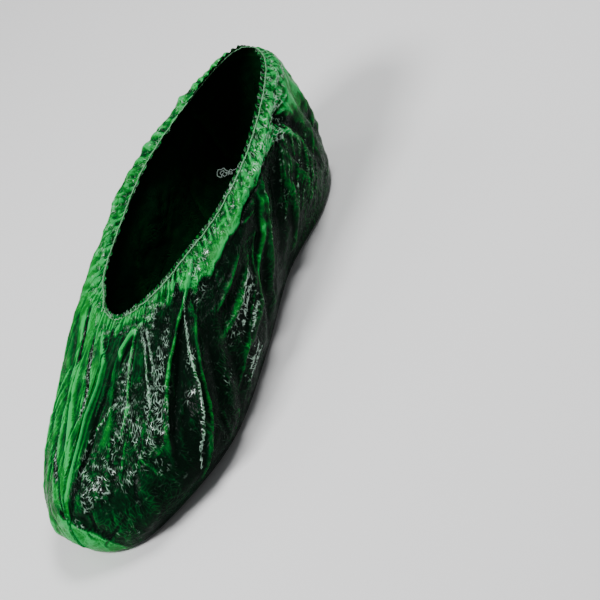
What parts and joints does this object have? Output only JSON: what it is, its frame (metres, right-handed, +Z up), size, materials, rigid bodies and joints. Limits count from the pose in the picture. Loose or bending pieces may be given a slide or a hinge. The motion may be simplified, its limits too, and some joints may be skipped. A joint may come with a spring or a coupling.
{
  "type": "shoe cover",
  "caption": "Thin film overshoe in the form it has when worn, open at the top, with an elastic thread that gathers its rim and a flat sole.",
  "frame": {"origin": "under the middle of the box, on the surface that the sole rests on", "axes": "+Y from the toe to the heel, +X to the outer side of the foot, +Z up"},
  "size_m": [0.1198, 0.3234, 0.0997],
  "materials": {
    "film": "thin glossy crinkled see-through film",
    "elastic": "matt thin thread"
  },
  "bodies": {
    "root": {"film_cover": "film", "elastic_thread": "elastic", "toe_seam": "film"}
  },
  "joints": []
}
